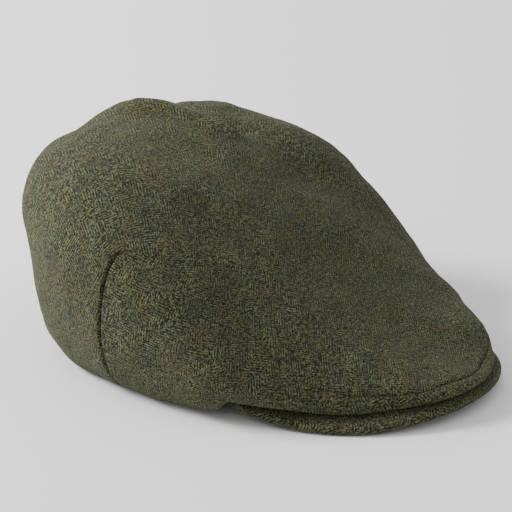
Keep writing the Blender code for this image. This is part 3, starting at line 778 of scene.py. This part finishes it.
class Weave:
    """Short way to write a material's nodes: each call adds one and links its inputs."""

    def __init__(self, name):
        self.material = bpy.data.materials.new(name)
        self.material.use_nodes = True
        self.tree = self.material.node_tree
        self.shader = self.tree.nodes["Principled BSDF"]

    def put(self, socket, value):
        if isinstance(value, bpy.types.NodeSocket):
            self.tree.links.new(value, socket)
        elif isinstance(value, tuple) and len(value) == 3 and socket.type == "RGBA":
            socket.default_value = (*value, 1.0)
        else:
            socket.default_value = value

    def node(self, kind, *values, out=0, **settings):
        node = self.tree.nodes.new(kind)
        for key, value in settings.items():
            setattr(node, key, value)
        for k, value in enumerate(values):
            if value is not None:
                self.put(node.inputs[k], value)
        return node.outputs[out]

    def math(self, operation, *values):
        return self.node("ShaderNodeMath", *values, operation=operation)

    def mix(self, share, first, second, blend="MIX"):
        node = self.tree.nodes.new("ShaderNodeMix")
        node.data_type = "RGBA"
        node.blend_type = blend
        for key, value in (("Factor_Float", share), ("A_Color", first), ("B_Color", second)):
            self.put(next(s for s in node.inputs if s.identifier == key), value)
        return next(s for s in node.outputs if s.identifier == "Result_Color")

    def noise(self, vector, scale, detail=2.0):
        node = self.tree.nodes.new("ShaderNodeTexNoise")
        self.put(node.inputs["Vector"], vector)
        node.inputs["Scale"].default_value = scale
        node.inputs["Detail"].default_value = detail
        return node.outputs["Factor" if "Factor" in node.outputs else "Fac"]

    def step(self, value, low, high):
        """0 below low, 1 above high."""
        return self.node("ShaderNodeMapRange", value, low, high, 0.0, 1.0,
                         interpolation_type="SMOOTHSTEP")


def tweed():
    """Herringbone tweed: a zigzag of twill lines in stripes across U, with heathered yarns,
    coloured flecks, broader patches, pale fibres, painted shade in pits and a slight nap."""
    w = Weave("tweed")
    uv = w.node("ShaderNodeUVMap", uv_map="cloth")
    stray = w.noise(uv, NOISE["stray_across"])
    split = w.tree.nodes.new("ShaderNodeSeparateXYZ")
    w.put(split.inputs[0], uv)
    u = w.math("ADD", split.outputs[0], w.math("MULTIPLY", stray, WOBBLE[0]))
    stray = w.noise(uv, NOISE["stray_along"])
    v = w.math("ADD", split.outputs[1], w.math("MULTIPLY", stray, WOBBLE[1]))
    zig = w.math("PINGPONG", u, STRIPE)
    turn = w.math("FLOOR", w.math("DIVIDE", u, STRIPE))
    phase = w.math("DIVIDE", w.math("ADD", v, zig), TWILL)
    phase = w.math("ADD", phase, w.math("MULTIPLY", turn, 0.5))
    line = w.math("MULTIPLY", w.math("SINE", w.math("MULTIPLY", phase, TURN)), 0.5)
    breaks = w.step(w.noise(uv, NOISE["breaks"]), *LEVELS["breaks"])
    line = w.math("MULTIPLY", line, breaks)
    float_place = w.node("ShaderNodeCombineXYZ", phase,
                         w.math("DIVIDE", w.math("SUBTRACT", v, zig), FLOAT),
                         w.math("MULTIPLY", turn, STRIPE_JUMP))
    yarn = w.noise(float_place, NOISE["yarn"])
    weft = w.noise(uv, NOISE["weft"], 1.0)
    lit = w.math("MULTIPLY_ADD", line, STRENGTH["line"], yarn)
    lit = w.math("MULTIPLY_ADD", weft, STRENGTH["weft"], lit)
    heather = w.math("SUBTRACT", w.noise(uv, NOISE["heather"], 1.0), 0.5)
    lit = w.math("MULTIPLY_ADD", heather, STRENGTH["heather"], lit)
    lit = w.step(lit, *LEVELS["lit"])
    colour = w.mix(lit, TWEED["dark"], TWEED["light"])
    for k, (name, low, high, share) in enumerate(FLECKS):
        place = w.node("ShaderNodeVectorMath", uv, (0.37 * (k + 1), 0.21 * (k + 1), 0.0),
                       operation="ADD")
        spots = w.step(w.noise(place, NOISE["fleck"] + FLECK_STEP * k), low, high)
        crowd = w.step(w.noise(place, NOISE["crowd"], 3.0), *LEVELS["crowd"])
        spots = w.math("MULTIPLY", spots, w.math("MULTIPLY_ADD", crowd, 1.4, 0.2))
        colour = w.mix(w.math("MULTIPLY", spots, share), colour, TWEED[name])
    patches = w.step(w.noise(uv, NOISE["patches"]), *LEVELS["patches"])
    colour = w.mix(w.math("MULTIPLY", patches, STRENGTH["patches"]), colour, TWEED["brown"])
    place = w.node("ShaderNodeVectorMath", uv, (0.9, 0.4, 0.0), operation="ADD")
    cool = w.step(w.noise(place, NOISE["cool"]), *LEVELS["cool"])
    colour = w.mix(w.math("MULTIPLY", cool, STRENGTH["cool"]), colour, TWEED["blue"])
    body = w.node("ShaderNodeTexCoord", out=3)
    fibre = w.step(w.noise(body, NOISE["fibre"], 1.0), *LEVELS["fibre"])
    colour = w.mix(w.math("MULTIPLY", fibre, STRENGTH["fibre"]), colour, TWEED["fibre"])
    # pits between the yarns: dented through the bump below, and their colour darkened towards
    # near black as painted shade in the gaps
    shaded_pit = w.step(w.noise(body, NOISE["shaded_pit"], 1.0), *LEVELS["shaded_pit"])
    colour = w.mix(w.math("MULTIPLY", shaded_pit, STRENGTH["shaded_pit"]), colour, TWEED["dark"])
    height = w.math("ADD", w.math("MULTIPLY", line, 0.5), w.math("MULTIPLY", weft, 0.8))
    height = w.math("ADD", height, w.math("SUBTRACT", fibre, shaded_pit))
    bump = w.tree.nodes.new("ShaderNodeBump")
    bump.inputs["Strength"].default_value = 0.65
    bump.inputs["Distance"].default_value = 0.0006
    w.put(bump.inputs["Height"], height)
    w.put(w.shader.inputs["Base Color"], colour)
    w.put(w.shader.inputs["Normal"], bump.outputs[0])
    for socket, value in (("Roughness", 0.92), ("Specular IOR Level", 0.22),
                          ("Sheen Weight", 0.06), ("Sheen Roughness", 0.55)):
        w.shader.inputs[socket].default_value = value
    w.shader.inputs["Sheen Tint"].default_value = (0.62, 0.66, 0.40, 1.0)
    return w.material


top_cloth, side_cloth = top_weave(), side_weave()
cloth_of = tweed()
visible = {
    "top_panel": top_panel("tweed_top_panel", top_cloth),
    "side_panel_right": side_panel("tweed_side_panel_right", -1, side_cloth),
    "side_panel_left": side_panel("tweed_side_panel_left", 1, side_cloth),
    "peak": peak("tweed_peak"),
}
for node, piece in visible.items():
    piece.data.materials.append(cloth_of)
    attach(piece, "root")
    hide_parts(node)


def plain(name, colour, roughness):
    material = bpy.data.materials.new(name)
    material.use_nodes = True
    shader = material.node_tree.nodes["Principled BSDF"]
    shader.inputs["Base Color"].default_value = (*colour, 1.0)
    shader.inputs["Roughness"].default_value = roughness
    return material


def add_floor():
    """A square sheet of pale board below the cap."""
    corners = np.array([(-1, -1, 0), (1, -1, 0), (1, 1, 0), (-1, 1, 0)]) * FLOOR_SIZE
    mesh = bpy.data.meshes.new("floor")
    mesh.from_pydata(corners, [], [(0, 1, 2, 3)])
    floor = bpy.data.objects.new("floor", mesh)
    mesh.materials.append(plain("pale board", (0.93, 0.93, 0.93), 0.9))
    bpy.context.collection.objects.link(floor)


def view_axes():
    """Directions to the camera, to the right and up in the photograph."""
    turn, tip = np.radians(AZIMUTH), np.radians(ELEVATION)
    back = np.array([np.sin(turn) * np.cos(tip), -np.cos(turn) * np.cos(tip), np.sin(tip)])
    right = np.array([np.cos(turn), np.sin(turn), 0.0])
    return right, np.cross(back, right), back


def aimed(place, target):
    """Matrix of something at place that looks at target, its own up towards +Z."""
    back = (place - target) / np.linalg.norm(place - target)
    right = np.cross((0, 0, 1), back)
    right /= np.linalg.norm(right)
    matrix = np.eye(4)
    matrix[:3] = np.stack([right, np.cross(back, right), back, place], 1)
    return Matrix(matrix.tolist())


def add_light(name, place, target, size, watts):
    lamp = bpy.data.lights.new(name, "AREA")
    lamp.size, lamp.energy = size, watts
    light = bpy.data.objects.new(name, lamp)
    light.matrix_world = aimed(np.array(place), target)
    bpy.context.collection.objects.link(light)


add_floor()
right, up, back = view_axes()
target = np.array(TARGET) + OFFSET + AIM_RIGHT * right + AIM_UP * up
lens = bpy.data.cameras.new("photo camera")
lens.lens, lens.sensor_width = LENS, SENSOR_WIDTH
camera = bpy.data.objects.new("photo camera", lens)
camera.matrix_world = aimed(target + back * DISTANCE, target)
bpy.context.collection.objects.link(camera)
bpy.context.scene.camera = camera
for name, (x, y, z), size, watts in LIGHTS:
    place = target + x * right + y * back + z * np.array([0, 0, 1])
    add_light(name, place, target, size, watts)
world = bpy.data.worlds.new("studio")
world.use_nodes = True
world.node_tree.nodes["Background"].inputs["Color"].default_value = (1.0, 1.0, 1.0, 1.0)
world.node_tree.nodes["Background"].inputs["Strength"].default_value = SKY
bpy.context.scene.world = world
